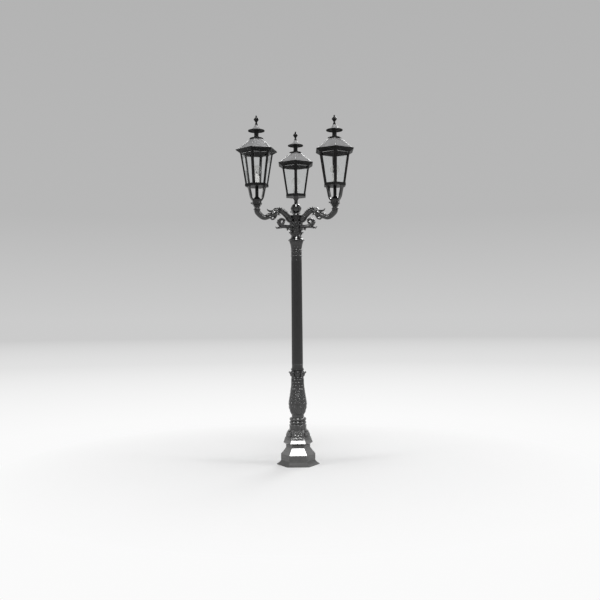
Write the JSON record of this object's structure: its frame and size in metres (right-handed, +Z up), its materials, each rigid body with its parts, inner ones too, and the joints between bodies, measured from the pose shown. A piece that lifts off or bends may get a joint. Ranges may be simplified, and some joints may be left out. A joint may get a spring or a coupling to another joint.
{
  "type": "garden lamp post",
  "caption": "Tall cast-iron garden lamp post with a fluted shaft and hexagonal lanterns on scrolled dolphin arms, each lantern turning on its spigot under a hinged hood.",
  "frame": {"origin": "centre of the foot's underside, on the post's axis", "axes": "+Z up along the post; -Y is the side seen in the picture; the lantern arms point 120 degrees apart, one along +Y"},
  "size_m": [1.1359, 1.071, 3.4316],
  "materials": {
    "post_iron": "semi-gloss black paint on cast iron",
    "lantern_black": "semi-gloss black paint on sheet metal",
    "roof_sheet": "satin grey sheet metal",
    "steel": "blackened steel",
    "pane_glass": "clear",
    "bulb_glass": "clear",
    "porcelain": "glazed white"
  },
  "bodies": {
    "post": {"pedestal": "post_iron", "vase": "post_iron", "leaf_crown": "post_iron", "shaft": "post_iron", "capital": "post_iron", "crown_hub": "post_iron", "ball_finial": "post_iron", "arm_studs": "steel", "arm_right": "post_iron", "scroll_right": "post_iron", "arm_left": "post_iron", "scroll_left": "post_iron", "arm_rear": "post_iron", "scroll_rear": "post_iron"},
    "right_lantern": {"right_cradle": "post_iron", "right_set_screws": "steel", "right_stem": "lantern_black", "right_pan": "lantern_black", "right_corner_bars": "lantern_black", "right_top_rail": "lantern_black", "right_panes": "pane_glass", "right_lampholder": "porcelain", "right_bulb": "bulb_glass", "right_hinge_pin": "steel"},
    "right_hood": {"right_cornice": "lantern_black", "right_roof": "roof_sheet", "right_vent_neck": "lantern_black", "right_vent_hat": "roof_sheet", "right_finial": "lantern_black"},
    "left_lantern": {"left_cradle": "post_iron", "left_set_screws": "steel", "left_stem": "lantern_black", "left_pan": "lantern_black", "left_corner_bars": "lantern_black", "left_top_rail": "lantern_black", "left_panes": "pane_glass", "left_lampholder": "porcelain", "left_bulb": "bulb_glass", "left_hinge_pin": "steel"},
    "left_hood": {"left_cornice": "lantern_black", "left_roof": "roof_sheet", "left_vent_neck": "lantern_black", "left_vent_hat": "roof_sheet", "left_finial": "lantern_black"},
    "rear_lantern": {"rear_cradle": "post_iron", "rear_set_screws": "steel", "rear_stem": "lantern_black", "rear_pan": "lantern_black", "rear_corner_bars": "lantern_black", "rear_top_rail": "lantern_black", "rear_panes": "pane_glass", "rear_lampholder": "porcelain", "rear_bulb": "bulb_glass", "rear_hinge_pin": "steel"},
    "rear_hood": {"rear_cornice": "lantern_black", "rear_roof": "roof_sheet", "rear_vent_neck": "lantern_black", "rear_vent_hat": "roof_sheet", "rear_finial": "lantern_black"}
  },
  "joints": [
    {"name": "right_swivel", "type": "hinge", "parent": "post", "child": "right_lantern", "pos_m": [0.37932, -0.219, 2.5623], "axis": [0, 0, 1], "range_deg": [-180, 180]},
    {"name": "right_hood_hinge", "type": "hinge", "parent": "right_lantern", "child": "right_hood", "pos_m": [0.45467, -0.08848, 3.06345], "axis": [-0.866, 0.5, 0], "range_deg": [0, 105]},
    {"name": "left_swivel", "type": "hinge", "parent": "post", "child": "left_lantern", "pos_m": [-0.37932, -0.219, 2.5623], "axis": [0, 0, 1], "range_deg": [-180, 180]},
    {"name": "left_hood_hinge", "type": "hinge", "parent": "left_lantern", "child": "left_hood", "pos_m": [-0.42338, -0.07488, 3.06345], "axis": [-0.9563, -0.2924, 0], "range_deg": [0, 105]},
    {"name": "rear_swivel", "type": "hinge", "parent": "post", "child": "rear_lantern", "pos_m": [0, 0.438, 2.5623], "axis": [0, 0, 1], "range_deg": [-180, 180]},
    {"name": "rear_hood_hinge", "type": "hinge", "parent": "rear_lantern", "child": "rear_hood", "pos_m": [-0.07535, 0.56852, 3.06345], "axis": [-0.866, -0.5, 0], "range_deg": [0, 105]}
  ]
}
